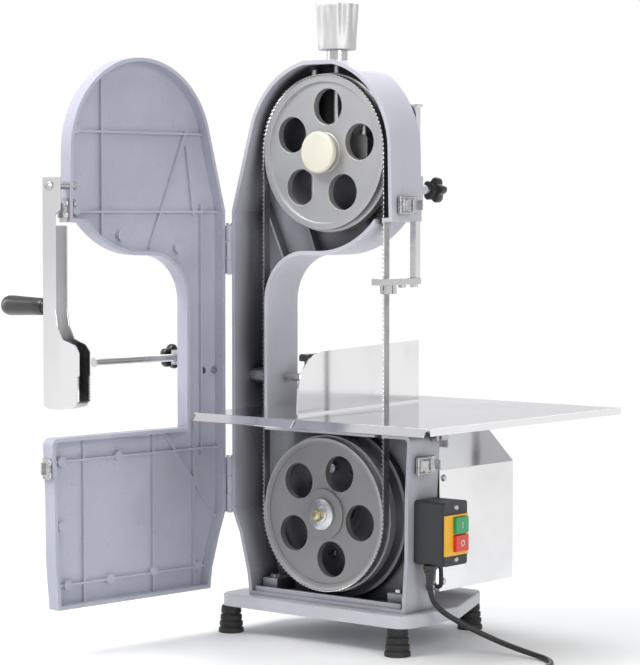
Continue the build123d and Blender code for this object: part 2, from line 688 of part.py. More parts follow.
def keeper_screws():
    """Two screws through each keeper, the top one nutted inside the door."""
    group = Part()
    places = ((TIP_X + 2, 601, 16), (TIP_X + 2, 586, 8), (161.7, 260, 8), (161.7, 244, 8))
    for x, z, grip in places:
        group += pan_screw((x, PIVOT_Y, z), EX, 2.2, grip)
    return group + hex_bar((TIP_X - 13, PIVOT_Y, 601), EX, 10, 5.5)


def pusher_handle():
    """Turned grip standing out towards the operator."""
    x, y, z = 149.0, FRONT_Y - 19, 465.0
    grip = cone_bar((x, y - 92, z), EY, 13.5, 11.5, 84)
    grip = fillet(grip.edges().sort_by(Axis.Y)[0], 7)
    return grip + cone_bar((x, y - 8, z), EY, 10, 10.5, 8)


def gauge_clamp():
    """Block on the outside of the door that holds the gauge rod."""
    face = FRONT_Y - DOOR_GAP - DOOR_DEPTH
    body = block((-150, -92), (face - 3, face), (354, 402))
    body += block((-122, -92), (GAUGE_Y - 8, face), (GAUGE_Z - 10, GAUGE_Z + 10))
    body = body - round_bar((-160, GAUGE_Y, GAUGE_Z), EX, GAUGE_R + 0.05, 120)
    return body - round_bar((-102, GAUGE_Y, GAUGE_Z), (0, -1, 0), 3.05, 40)


def gauge_screws():
    group = Part()
    inner = FRONT_Y - DOOR_GAP - DOOR_DEPTH + 4
    for x in (-144.0, -121.5):
        group += hex_bar((x, inner, 368.5), EY, 9, 4)
        group += round_bar((x, inner - 7.1, 368.5), EY, 2.5, 9)
    return group


def gauge_rod():
    bar = round_bar((-128, GAUGE_Y, GAUGE_Z), EX, GAUGE_R, 184)
    return bar + cone_bar((51, GAUGE_Y, GAUGE_Z), EX, GAUGE_R, GAUGE_R + 2, 6)


def gauge_knob():
    screw = round_bar((-102, GAUGE_Y - GAUGE_R - 0.4, GAUGE_Z), (0, -1, 0), 3.0, 6)
    return screw + star_knob((-102, GAUGE_Y - 8.5, GAUGE_Z), (0, -1, 0), 18, 18)


# ---------------------------------------------------------------- latches
LATCHES = {"lower": (159.7, 253.0), "upper": (TIP_X, 599.0)}


def latch_base(x, z):
    plate = block((x, x + 2), (4, 46), (z - 11, z + 11))
    ears = Part()
    for side in (-1, 1):
        low = z + side * 9.5
        ears += block((x, x + 6.5), (5, 15), (low - 1, low + 1))
    screws = Part()
    for y in (22, 40):
        screws += pan_screw((x + 2, y, z), EX, 1.5, 2)
    return plate + ears + screws


def latch_lever(x, z):
    lever = block((x + 5, x + 7), (8.5, 44), (z - 6.5, z + 6.5))
    lever += block((x + 5, x + 12), (42.5, 44), (z - 6.5, z + 6.5))
    lever += round_bar((x + 5.5, 10, z - 8.2), EZ, 2.5, 16.4)
    return lever + round_bar((x + 8.2, 28, z - 8), EZ, 1.6, 16)


def latch_bail(x, z):
    """Wire loop: two side wires, a cross wire that hooks the keeper and two inturned ends."""
    cx = x + 8.2
    loop = round_bar((cx, 0, z - 11.8), EZ, 1.4, 23.6)
    for side in (-1, 1):
        loop += round_bar((cx, 0, z + side * 10.3), EY, 1.25, 28)
        loop += round_bar((cx, 28, z + side * 8.3), (0, 0, side), 1.4, 3.3)
    return loop


# ---------------------------------------------------------------- switch and cables
def switch_box():
    body = block(SWITCH_X, SWITCH_Y, SWITCH_Z)
    body = fillet(body.edges().filter_by(Axis.X), 4)
    room = block((SWITCH_X[0] + 3, SWITCH_X[1] + 1), (SWITCH_Y[0] + 3, SWITCH_Y[1] - 3),
                 (SWITCH_Z[0] + 3, SWITCH_Z[1] - 3))
    return body - room


def switch_lid():
    x = SWITCH_X[1]
    lid = block((x, x + 3), SWITCH_Y, SWITCH_Z)
    lid = fillet(lid.edges().filter_by(Axis.X), 4)
    return lid - block((x - 1, x + 5), (7, 52), (139, 188))


def switch_bezel():
    x = SWITCH_X[1] + 3
    body = block((x - 6, x), (8.1, 52.0), (139, 188)) + block((x, x + 3), (4, 54), (136, 190))
    for low, high in ((141, 163), (165, 187)):
        body -= block((x - 10, x + 10), (21, 49), (low, high))
    return body


def push_button(low, high):
    x = SWITCH_X[1]
    cap = block((x - 2, x + 11), (21.3, 48.7), (low + 0.3, high - 0.3))
    return fillet(cap.edges().filter_by(Axis.X), 1.5)


def switch_screws():
    group = Part()
    for z in (SWITCH_Z[0] + 8, SWITCH_Z[1] - 8):
        group += pan_screw((SWITCH_X[1] + 3, 30.5, z), EX, 2.0, 4)
    return group


def cord_gland():
    x, y, top = CORD_ROUTE[0][0], CORD_ROUTE[0][1], SWITCH_Z[0]
    body = hex_bar((x, y, top - 6), EZ, 17, 6)
    return body + cone_bar((x, y, top - 22), EZ, CORD_R + 1, 7.5, 16) - round_bar((x, y, 90), EZ, CORD_R, 60)


def motor_cable():
    """Short lead from the switch box round into the casting."""
    points = [(178, 36, 121.9), (178, 36.6, 106), (175.5, 39.5, 92), (169, 43, 86.5), (161.8, 44, 88)]
    path = FilletPolyline(*[Vector(*p) for p in points], radius=[14.0, 9.0, 8.0])
    start = Plane(origin=points[0], z_dir=(0, 0, -1))
    return sweep(start * Circle(3.0), path=path)


def cable_glands():
    hole = round_bar((145, 44, 88), EX, 3.0, 30)
    wall = round_bar((148, 44, 88), EX, 6.2, 13.5) - hole
    nut = hex_bar((156.0, 44, 88), EX, 15, 4) - hole
    box = tube((178, 36, SWITCH_Z[0] - 5), EZ, 6, 3.0, 5)
    return wall + nut + box + cord_gland()


def cord_turn_radii(points):
    radii = []
    for a, b, c in zip(points, points[1:], points[2:]):
        ab, bc = Vector(*b) - Vector(*a), Vector(*c) - Vector(*b)
        turn = radians(ab.get_angle(bc))
        radii.append(0.45 * min(ab.length, bc.length) / tan(turn / 2))
    return radii


def mains_cord():
    radii = cord_turn_radii(CORD_ROUTE)
    print("cord radii", [round(r) for r in radii])
    path = FilletPolyline(*[Vector(*p) for p in CORD_ROUTE], radius=radii)
    tube_solid = sweep(Plane(origin=CORD_ROUTE[0], z_dir=(0, 0, -1)) * Circle(CORD_R), path=path)
    ideal = pi * CORD_R ** 2 * path.length
    print("cord length", round(path.length), "volume ratio", round(tube_solid.volume / ideal, 4))
    return tube_solid


def cord_coil():
    x, y = COIL_CENTRE
    half = COIL_WIDE / 2
    ring = tube((x, y, 0.1), EZ, COIL_R + half, COIL_R - half, COIL_HIGH)
    return fillet(ring.edges(), 3.5)


def plug():
    """Rewirable plug lying beside the coil, with its sleeve and two pins."""
    back = (-1, 0, 0)
    start = COIL_CENTRE[0] - 62
    line = COIL_CENTRE[1] - COIL_R - 6
    body = block((start - 34, start), (line - 12, line + 12), (0.3, 2 * PLUG_Z - 0.3))
    body = fillet(body.edges().filter_by(Axis.X), 5)
    body += cone_bar((start + 30, line, PLUG_Z), back, CORD_R + 0.6, 7, 31)
    body += round_bar((start + 50, line, PLUG_Z), back, CORD_R, 21)
    for side in (-1, 1):
        body += round_bar((start - 33, line + side * 7, PLUG_Z), back, 2.4, 18)
    return body


# ---------------------------------------------------------------- everything by name
def all_nodes():
    nodes = {
        "housing": housing(), "base_plate": base_plate(), "blade": blade(),
        "feet": Part() + [foot(*place) for place in foot_places()],
        "upper_wheel": upper_wheel(), "lower_wheel": lower_wheel(), "upper_axle": upper_axle(),
        "wheel_bearings": wheel_bearings(), "wheel_cap": wheel_cap(), "tension_carriage": carriage(),
        "guide_rods": guide_rods(), "tension_screw": tension_screw(),
        "tension_collar": tension_collar(), "tension_knob": tension_knob(),
        "motor_shaft": motor_shaft(), "motor_flange": motor_flange(), "motor_body": motor_body(),
        "motor_fan": motor_fan(), "fan_cover": fan_cover(), "motor_bolts": motor_bolts(),
        "wheel_clamp_bolt": wheel_clamp_bolt() + wheel_clamp_washer(),
        "motor_cover": motor_cover(),
        "table": table(), "table_brackets": table_brackets(),
        "table_bolts": table_bolts() + table_clamp(),
        "fence": fence_plate() + fence_arm(), "fence_knob": fence_knob(),
        "fence_rod": fence_rod() + fence_bush(),
        "guide_post": guide_post(), "guide_arm": guide_arm(),
        "guide_blocks": guide_rollers() + guide_bolts(), "post_clamp": post_clamp(),
        "post_knob": post_knob(),
        "small_screws": clamp_bolts() + hinge_screws() + cover_screws() + switch_screws(),
        "latch_bases": Part() + [latch_base(*spot) for spot in LATCHES.values()],
        "body_hinges": Part() + [body_hinge(*span) for span in HINGES],
        "hinge_pins": Part() + [hinge_pin(*span) for span in HINGES],
        "switch_box": switch_box(), "switch_lid": switch_lid(), "switch_bezel": switch_bezel(),
        "green_button": push_button(165, 187), "red_button": push_button(141, 163),
        "cable_glands": cable_glands(), "motor_cable": motor_cable(),
        "mains_cord": mains_cord(), "cord_coil": cord_coil(), "plug": plug(),
    }
    for name, spot in LATCHES.items():
        nodes[f"{name}_latch_lever"] = latch_lever(*spot)
        nodes[f"{name}_latch_bail"] = latch_bail(*spot)
    door = {
        "door_shell": door_shell(), "door_keepers": door_keepers(), "pusher_channel": pusher_channel(),
        "door_hinges": Part() + [door_hinge(*span) for span in HINGES],
        "door_bolts": pusher_pivot() + keeper_screws() + gauge_screws(),
        "pusher_handle": pusher_handle(), "gauge_clamp": gauge_clamp(),
        "gauge_rod": gauge_rod(), "gauge_knob": gauge_knob(),
    }
    nodes.update({name: shut_to_open(shape) for name, shape in door.items()})
    return nodes


if __name__ == "__main__":
    for name, shape in all_nodes().items():
        export_step(shape, f"parts/{name}.step")
    print("done")
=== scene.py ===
"""Bench-top butcher's band saw with its door open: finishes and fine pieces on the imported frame."""

import json
import math

import bmesh
import bpy
from mathutils import Matrix, Vector


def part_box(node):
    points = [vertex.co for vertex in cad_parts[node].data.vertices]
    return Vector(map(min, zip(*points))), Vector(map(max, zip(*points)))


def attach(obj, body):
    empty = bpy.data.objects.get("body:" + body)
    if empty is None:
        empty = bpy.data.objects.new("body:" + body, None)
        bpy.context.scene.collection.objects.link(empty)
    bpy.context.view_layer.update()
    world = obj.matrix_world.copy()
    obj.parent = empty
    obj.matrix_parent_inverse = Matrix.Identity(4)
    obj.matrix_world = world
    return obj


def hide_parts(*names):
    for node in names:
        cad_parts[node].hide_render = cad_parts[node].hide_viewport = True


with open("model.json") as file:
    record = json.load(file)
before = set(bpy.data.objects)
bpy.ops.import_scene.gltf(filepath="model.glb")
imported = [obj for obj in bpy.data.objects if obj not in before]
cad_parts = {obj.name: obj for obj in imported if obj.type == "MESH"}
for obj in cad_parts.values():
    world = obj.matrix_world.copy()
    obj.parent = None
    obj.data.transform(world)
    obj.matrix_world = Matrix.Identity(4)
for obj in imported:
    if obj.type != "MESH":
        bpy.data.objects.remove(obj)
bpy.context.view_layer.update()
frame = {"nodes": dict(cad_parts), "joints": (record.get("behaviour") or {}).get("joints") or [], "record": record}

MM = 0.001
JOINTS = {joint["name"]: joint for joint in frame["joints"]}
SLOT_OF_NODE = {row["node"]: row["material_slot"] for row in frame["record"]["subparts"]}


# ------------------------------------------------------------------ camera, light and floor
def set_camera():
    """Eye level with the top wheel, a little to the right of the saw's front."""
    lens = bpy.data.cameras.new("camera")
    lens.lens, lens.sensor_width, lens.sensor_fit = 132.36, 36.0, "AUTO"
    lens.clip_end = 50.0
    camera = bpy.data.objects.new("camera", lens)
    bpy.context.scene.collection.objects.link(camera)
    camera.location = (2.1239, -2.5636, 0.5922)
    gaze = Vector((-0.63744, 0.76888, -0.04999))
    camera.rotation_euler = gaze.to_track_quat("-Z", "Y").to_euler()
    bpy.context.scene.camera = camera


def soft_light(name, place, target, size, power, tint=(1, 1, 1)):
    lamp = bpy.data.lights.new(name, "AREA")
    lamp.shape, lamp.size, lamp.size_y = "RECTANGLE", size[0], size[1]
    lamp.energy, lamp.color = power, tint
    light = bpy.data.objects.new(name, lamp)
    bpy.context.scene.collection.objects.link(light)
    light.location = place
    light.rotation_euler = (Vector(target) - Vector(place)).to_track_quat("-Z", "Y").to_euler()


def set_studio():
    """White room: bright to look at and to reflect, dimmer as fill, with a high key light."""
    scene = bpy.context.scene
    scene.view_settings.view_transform = "Standard"
    world = bpy.data.worlds.new("studio")
    scene.world = world
    world.use_nodes = True
    room = world.node_tree
    path = room.nodes.new("ShaderNodeLightPath").outputs
    backdrop = room.nodes["Background"]
    backdrop.inputs["Color"].default_value = (1, 1, 1, 1)
    fill = room.nodes.new("ShaderNodeBackground")
    fill.inputs["Color"].default_value = (0.95, 0.97, 1.0, 1)
    fill.inputs["Strength"].default_value = 0.34
    mirrored = room.nodes.new("ShaderNodeBackground")
    mirrored.inputs["Strength"].default_value = 0.86
    heading = room.nodes.new("ShaderNodeTexCoord").outputs["Generated"]
    split = room.nodes.new("ShaderNodeSeparateXYZ")
    ramp = room.nodes.new("ShaderNodeValToRGB")
    bands = [(0.0, 0.55), (0.42, 0.62), (0.485, 0.92), (0.53, 0.95), (0.60, 0.62), (0.72, 0.42),
             (0.86, 0.85), (1.0, 1.0)]
    for i, (at, level) in enumerate(bands):
        stop = ramp.color_ramp.elements[i] if i < 2 else ramp.color_ramp.elements.new(at)
        stop.position, stop.color = at, (level, level, level * 1.02, 1)
    half = room.nodes.new("ShaderNodeMath")
    half.operation = "MULTIPLY_ADD"
    half.inputs[1].default_value = half.inputs[2].default_value = 0.5
    lit = room.nodes.new("ShaderNodeMixShader")
    mixed = room.nodes.new("ShaderNodeMixShader")
    joins = [(heading, split.inputs[0]), (split.outputs["Z"], half.inputs[0]),
             (half.outputs[0], ramp.inputs[0]), (ramp.outputs[0], mirrored.inputs["Color"]),
             (path["Is Glossy Ray"], lit.inputs[0]), (fill.outputs[0], lit.inputs[1]),
             (mirrored.outputs[0], lit.inputs[2]), (path["Is Camera Ray"], mixed.inputs[0]),
             (lit.outputs[0], mixed.inputs[1]), (backdrop.outputs[0], mixed.inputs[2]),
             (mixed.outputs[0], room.nodes["World Output"].inputs["Surface"])]
    for source, sink in joins:
        room.links.new(source, sink)
    soft_light("key", (-0.7, -1.7, 2.7), (0, 0, 0.35), (1.3, 1.3), 66)
    soft_light("right", (2.5, -1.0, 1.5), (0.1, 0, 0.35), (0.9, 1.6), 24, (1.0, 0.99, 0.97))
    soft_light("top", (0.2, 0.3, 2.8), (0, 0, 0.3), (1.6, 1.2), 34, (0.98, 0.99, 1.0))
    soft_light("left", (-2.6, -0.9, 1.2), (-0.2, 0, 0.4), (0.8, 1.6), 14, (0.97, 0.98, 1.0))
    soft_light("rear", (-1.2, 2.3, 1.7), (0, 0, 0.5), (1.4, 1.2), 18)


# ------------------------------------------------------------------ finishes
class Shade:
    """A socket in a finish. Python arithmetic on it adds Math nodes."""

    def __init__(self, finish, socket):
        self.finish, self.socket = finish, socket

    def maths(self, operation, *values):
        return self.finish.node("Math", {"operation": operation}, dict(enumerate(values)))

    def __add__(self, other):
        return self.maths("ADD", self, other)

    def __sub__(self, other):
        return self.maths("SUBTRACT", self, other)

    def __rsub__(self, other):
        return self.maths("SUBTRACT", other, self)

    def __mul__(self, other):
        return self.maths("MULTIPLY", self, other)

    def over(self, low, high):
        """0 below low, 1 above high and a smooth rise between."""
        limits = {"From Min": low, "From Max": high}
        return self.finish.node("MapRange", {"interpolation_type": "SMOOTHSTEP"},
                                {"Value": self, **limits})

    __radd__, __rmul__ = __add__, __mul__


class Finish:
    """One material: the shader's steady values, then whatever varies over the surface."""

    def __init__(self, name, **steady):
        self.material = bpy.data.materials.new(name)
        self.material.use_nodes = True
        self.tree = self.material.node_tree
        self.shader = self.tree.nodes["Principled BSDF"]
        for word, value in steady.items():
            self.shader.inputs[word.replace("_", " ")].default_value = value

    def node(self, kind, settings=None, sockets=None, out=0):
        made = self.tree.nodes.new("ShaderNode" + kind)
        for key, value in (settings or {}).items():
            setattr(made, key, value)
        for key, value in (sockets or {}).items():
            self.feed(made.inputs[key], value)
        return Shade(self, made.outputs[out])

    def feed(self, socket, value):
        if isinstance(value, Shade):
            self.tree.links.new(value.socket, socket)
        else:
            socket.default_value = value

    def set(self, **varying):
        for word, value in varying.items():
            self.feed(self.shader.inputs[word.replace("_", " ")], value)

    def place(self, stretch=(1, 1, 1), shift=(0, 0, 0)):
        """The point on the piece, in metres of the row frame."""
        here = self.node("TexCoord", out="Object")
        return self.node("Mapping", sockets={"Vector": here, "Scale": stretch, "Location": shift})

    def grain(self, scale, detail=2.0, stretch=(1, 1, 1), distortion=0.0):
        return self.node("TexNoise", sockets={"Vector": self.place(stretch), "Scale": scale,
                                              "Detail": detail, "Distortion": distortion})

    def tint(self, mask, first, second):
        """The first colour where mask is 0, the second where it is 1."""
        return self.node("Mix", {"data_type": "RGBA"}, {0: mask, 6: first, 7: second}, out=2)

    def bump(self, height, depth, strength=1.0, under=None):
        sockets = {"Height": height, "Distance": depth, "Strength": strength}
        if under:
            sockets["Normal"] = under
        return self.node("Bump", sockets=sockets)


def grey(level, warm=0.0, cool=0.0):
    return (level * (1 + warm), level, level * (1 + cool), 1)


def colour(red, green, blue):
    return (red, green, blue, 1)


def cast_paint(name, light, dark, gloss=0.42, pebble=0.00012, depth=0.0):
    """Stove enamel over a sand casting: orange peel and mottled, with painted shade that turns it near-black deep
    inside the casting, where ambient occlusion within depth is low.
    """
    f = Finish(name, Metallic=0.0)
    cloud = f.grain(7.0, 4.0).over(0.35, 0.68)
    speck = f.grain(950.0, 3.0)
    tone = f.tint(cloud, dark, light)
    # Painted shade: where ambient occlusion finds walls, wheels or other parts close by, the colour goes to
    # near-black blue-grey grey(0.026, 0, 0.10), standing in for shadow.
    if depth:
        painted_shade_ao = f.node("AmbientOcclusion", {"samples": 8}, {"Distance": depth}, out="AO")
        tone = f.tint(painted_shade_ao.over(0.10, 0.78), grey(0.026, 0, 0.10), tone)
    pit = f.grain(230.0, 1.0).over(0.66, 0.74)
    f.set(Base_Color=f.tint(pit * 0.16, tone, grey(0.12)),
          Roughness=gloss + 0.12 * cloud + 0.10 * speck)
    skin = f.bump(speck, pebble)
    f.set(Normal=f.bump(f.grain(60.0, 2.0), 0.00022, 0.6, skin))
    f.set(Coat_Weight=0.25 - 0.12 * cloud)
    return f.material


def drawn_steel(name, level, rough, along=(1, 1, 40), scratch=240.0, warm=0.0):
    """Brushed or ground steel, with its grain lines across the stretched axis."""
    f = Finish(name, Metallic=1.0)
    lines = f.grain(scratch, 2.0, along)
    smear = f.grain(9.0, 3.0).over(0.3, 0.7)
    f.set(Base_Color=f.tint(lines * 0.6 + smear * 0.3, grey(level * 0.86, warm), grey(level, warm)),
          Roughness=rough + 0.10 * lines + 0.06 * smear, Normal=f.bump(lines, 0.00003))
    return f.material


def mirror_sheet(name):
    """Polished stainless sheet with light swirl marks and fingerprints of haze."""
    f = Finish(name, Metallic=1.0)
    haze = f.grain(5.0, 5.0, distortion=0.6).over(0.42, 0.72)
    hair = f.grain(900.0, 1.0, (1, 0.03, 1))
    f.set(Base_Color=f.tint(haze, grey(0.80, 0, 0.01), grey(0.72, 0, 0.01)),
          Roughness=0.07 + 0.09 * haze + 0.05 * hair, Normal=f.bump(f.grain(14.0, 1.0), 0.0005, 0.25))
    return f.material


def faced_metal(name, low, high, rough, metal=1.0):
    """Wheel metal faced in a lathe: fine rings round the Y axis through each wheel."""
    f = Finish(name, Metallic=metal)
    lo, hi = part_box("upper_wheel") if "upper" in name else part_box("lower_wheel")
    centre = (lo + hi) / 2
    spoke = f.node("VectorMath", {"operation": "MULTIPLY"},
                   {0: f.place(shift=(-centre.x, 0, -centre.z)), 1: (1, 0, 1)})
    reach = f.node("VectorMath", {"operation": "LENGTH"}, {0: spoke}, out="Value")
    rings = f.node("TexNoise", {"noise_dimensions": "1D"},
                   {"W": reach * 1900.0, "Scale": 1.0, "Detail": 2.0})
    cloud = f.grain(22.0, 4.0)
    rubbed = reach.over(0.0985, 0.1035)
    base = f.tint(rings * 0.5 + cloud * 0.5, low, high)
    f.set(Base_Color=f.tint(rubbed * 0.55, base, grey(0.62)),
          Roughness=rough + 0.16 * cloud - 0.12 * rubbed,
          Normal=f.bump(rings + f.grain(700.0, 2.0) * 0.5, 0.00005))
    return f.material


def band_steel():
    """Blade band: dull rolled flanks, with a bright ground strip along the teeth."""
    f = Finish("blade_band", Metallic=1.0)
    across = f.node("SeparateXYZ", sockets={0: f.place()}, out="Y")
    ground = 1 - across.over(0.0040, 0.0052)
    lines = f.grain(500.0, 2.0, (1, 30, 1))
    stain = f.grain(40.0, 3.0).over(0.45, 0.7)
    f.set(Base_Color=f.tint(ground, f.tint(stain, grey(0.42), grey(0.30, 0.02)), grey(0.90)),
          Roughness=0.30 + 0.12 * lines - 0.08 * ground, Normal=f.bump(lines, 0.00003))
    return f.material


def moulded(name, tone, rough, fleck=0.00006, scale=1300.0, coat=0.0):
    """Moulded plastic with a fine spark-eroded texture."""
    f = Finish(name, Metallic=0.0, Coat_Roughness=0.2)
    fine = f.grain(scale, 2.0)
    cloud = f.grain(30.0, 3.0)
    soft = tuple(min(1.0, c * 1.22 + 0.006) for c in tone[:3]) + (1,)
    f.set(Base_Color=f.tint(cloud, tone, soft), Roughness=rough + 0.12 * fine + 0.08 * cloud,
          Normal=f.bump(fine, fleck), Coat_Weight=coat + 0.05 * cloud)
    return f.material


def rubber(name):
    """Black rubber with a greyish bloom and a little dust low down."""
    f = Finish(name, Metallic=0.0)
    bloom = f.grain(60.0, 4.0).over(0.4, 0.75)
    low = f.node("SeparateXYZ", sockets={0: f.place()}, out="Z")
    dust = (1 - low.over(0.0, 0.012)) * 0.5
    f.set(Base_Color=f.tint(bloom * 0.5 + dust * 0.4, grey(0.010), grey(0.055, 0.04)),
          Roughness=0.56 + 0.2 * bloom, Normal=f.bump(f.grain(1500.0, 2.0), 0.00007))
    return f.material


def plated(name, tone, second, rough=0.2):
    """Bright or passivated zinc plate, cloudy from the bath."""
    f = Finish(name, Metallic=1.0)
    bath = f.grain(160.0, 3.0, distortion=0.5).over(0.3, 0.7)
    f.set(Base_Color=f.tint(bath, tone, second), Roughness=rough + 0.12 * f.grain(420.0),
          Normal=f.bump(f.grain(800.0), 0.00003))
    return f.material


def make_finishes():
    """One material for each of the record's slots."""
    return {
        # The casting enamel carries painted shade: near-black in recesses within 85 mm, by ambient occlusion. Door
        # and base enamel have none.
        "casting_paint": cast_paint("casting_enamel", colour(0.53, 0.53, 0.585),
                                    colour(0.46, 0.46, 0.515), depth=0.085),
        "door_paint": cast_paint("door_enamel", colour(0.47, 0.485, 0.565),
                                 colour(0.405, 0.42, 0.495), 0.40, 0.00014),
        "base_paint": cast_paint("base_enamel", colour(0.62, 0.625, 0.67), colour(0.56, 0.565, 0.615),
                                 0.36, 0.00009),
        "upper_wheel_metal": faced_metal("upper_wheel_metal", grey(0.46), grey(0.56), 0.40, 0.8),
        "lower_wheel_metal": faced_metal("lower_wheel_metal", grey(0.29, 0.02), grey(0.38, 0.02),
                                         0.42, 0.7),
        "blade_steel": band_steel(),
        "polished_sheet": mirror_sheet("polished_sheet"),
        "machined_steel": drawn_steel("machined_steel", 0.66, 0.20),
        "fastener_steel": plated("bright_zinc", grey(0.42), grey(0.60, 0, 0.02), 0.20),
        "yellow_zinc": plated("yellow_zinc", colour(0.58, 0.50, 0.24), colour(0.68, 0.64, 0.42)),
        "cast_grey": drawn_steel("cast_grey", 0.34, 0.46, (1, 1, 1), 300.0),
        "ivory_plastic": moulded("ivory_cap", colour(0.66, 0.63, 0.53), 0.30, coat=0.3),
        "knob_metal": drawn_steel("knob_alloy", 0.68, 0.46, (1, 1, 1), 420.0),
        "black_plastic": moulded("black_plastic", grey(0.013), 0.26, coat=0.35),
        "black_rubber": rubber("black_rubber"),
        "cable_jacket": moulded("cable_jacket", grey(0.012), 0.38, 0.00004, 900.0, 0.1),
        "switch_plastic": moulded("switch_plastic", colour(0.030, 0.032, 0.036), 0.42, 0.00009),
        "yellow_plastic": moulded("yellow_surround", colour(0.80, 0.42, 0.015), 0.34, coat=0.2),
        "green_plastic": moulded("green_button", colour(0.010, 0.30, 0.10), 0.26, coat=0.4),
        "red_plastic": moulded("red_button", colour(0.62, 0.030, 0.018), 0.26, coat=0.4),
    }


# ------------------------------------------------------------------ making pieces
def add_piece(name, bm, slot, body, replaced=(), crease=35.0):
    """Turn a mesh in row metres into a piece that rides on body."""
    bmesh.ops.remove_doubles(bm, verts=bm.verts, dist=1e-6)
    bmesh.ops.recalc_face_normals(bm, faces=bm.faces)
    for face in bm.faces:
        face.smooth = True
    for edge in bm.edges:
        edge.smooth = len(edge.link_faces) != 2 or edge.calc_face_angle(0.0) < math.radians(crease)
    mesh = bpy.data.meshes.new(name)
    bm.to_mesh(mesh)
    bm.free()
    mesh.materials.append(FINISHES[slot])
    piece = bpy.data.objects.new(name, mesh)
    bpy.context.scene.collection.objects.link(piece)
    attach(piece, body)
    if replaced:
        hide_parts(*replaced)
    return piece


def frame_along(start, direction):
    """Matrix whose Z runs along direction from start, both in row millimetres."""
    turn = Vector(direction).to_track_quat("Z", "Y").to_matrix().to_4x4()
    return Matrix.Translation(Vector(start) * MM) @ turn @ Matrix.Scale(MM, 4)


def turn_profile(bm, profile, start, direction, flutes=0, sharp=2.0, steps=48, phase=0.0):
    """Revolve rows of (along, radius, flute depth) and close both ends."""
    basis = frame_along(start, direction)
    rings = []
    for along, radius, depth in profile:
        ring = []
        for i in range(steps):
            a = 2 * math.pi * i / steps
            dip = (0.5 + 0.5 * math.cos(flutes * a + phase)) ** sharp if flutes else 0.0
            r = radius - depth * dip
            ring.append(bm.verts.new(basis @ Vector((r * math.cos(a), r * math.sin(a), along))))
        rings.append(ring)
    for low, high in zip(rings, rings[1:]):
        for i in range(steps):
            j = (i + 1) % steps
            bm.faces.new((low[i], low[j], high[j], high[i]))
    bm.faces.new(rings[0][::-1])
    bm.faces.new(rings[-1])


def turned(name, profile, start, direction, slot, body, replaced=(), **shape):
    bm = bmesh.new()
    rows = [row if len(row) == 3 else (*row, 0.0) for row in profile]
    turn_profile(bm, rows, start, direction, **shape)
    return add_piece(name, bm, slot, body, replaced)


def soften(node, width, limit=32.0):
    """Break the sharp edges of a CAD node, as a casting or a tumbled part has them."""
    piece = frame["nodes"][node]
    weld = piece.modifiers.new("weld", "WELD")
    weld.merge_threshold = 1e-6
    flat = piece.modifiers.new("flat", "DECIMATE")
    flat.decimate_type, flat.angle_limit = "DISSOLVE", math.radians(0.4)
    edge = piece.modifiers.new("edge", "BEVEL")
    edge.width, edge.segments, edge.limit_method = width * MM, 2, "ANGLE"
    edge.angle_limit, edge.loop_slide = math.radians(limit), False
    piece.modifiers.new("normals", "WEIGHTED_NORMAL").keep_sharp = True


def on_door(x, y, z):
    """A place given with the door shut, in row millimetres, at the door's rest angle."""
    hinge = Vector(JOINTS["door_hinge"]["pos_m"]) / MM
    along = Vector(JOINTS["gauge_slide"]["axis"])
    out = Vector((-along.y, along.x, 0))
    return Vector((hinge.x, hinge.y, z)) + along * (x - hinge.x) + out * (y - hinge.y)


def door_way(x, y):
    along = Vector(JOINTS["gauge_slide"]["axis"])
    return along * x + Vector((-along.y, along.x, 0)) * y


# ------------------------------------------------------------------ mains lead
LEAD_WIDE = 7.5
LEAD_ROUTE = [
    (0.1800, 0.0100, 0.1000), (0.1800, 0.0102, 0.0860), (0.1830, 0.0136, 0.0728),
    (0.1895, 0.0205, 0.0615), (0.1995, 0.0305, 0.0518), (0.2130, 0.0430, 0.0410),
    (0.2295, 0.0570, 0.0300), (0.2490, 0.0705, 0.0195), (0.2710, 0.0810, 0.0110),
    (0.2960, 0.0850, 0.0054), (0.3210, 0.0780, 0.00385), (0.3420, 0.0585, 0.00385),
    (0.3560, 0.0300, 0.00385), (0.3640, -0.0030, 0.00385), (0.3720, -0.0370, 0.00385),
    (0.3840, -0.0710, 0.00385), (0.4000, -0.1030, 0.00385), (0.4150, -0.1300, 0.00385),
    (0.4238, -0.1540, 0.00385), (0.4262, -0.1700, 0.00385),
]
COIL_STEPS = [  # turns wound, mean radius and height of the lead's centre, mm
    (0.0, 48.9, 3.9), (0.80, 48.9, 3.9), (0.98, 41.2, 3.9), (1.60, 41.2, 3.9), (1.78, 41.2, 11.6),
    (2.45, 41.2, 11.6), (2.62, 48.9, 11.6), (3.36, 48.9, 11.6), (3.50, 45.6, 18.2),
    (4.20, 45.0, 18.2),
]
COIL_TURNS, POINTS_A_TURN = 4.2, 16
PLUG_REACH = 0.0966        # from the ends of the pins to the end of the sleeve


def coil_point(turns, centre):
    for (t0, r0, z0), (t1, r1, z1) in zip(COIL_STEPS, COIL_STEPS[1:]):
        if turns <= t1 + 1e-9:
            share = (turns - t0) / (t1 - t0)
            share = share * share * (3 - 2 * share)
            radius, height = r0 + (r1 - r0) * share, z0 + (z1 - z0) * share
            break
    a = -2 * math.pi * turns
    return (centre.x + radius * MM * math.cos(a), centre.y + radius * MM * math.sin(a), height * MM)


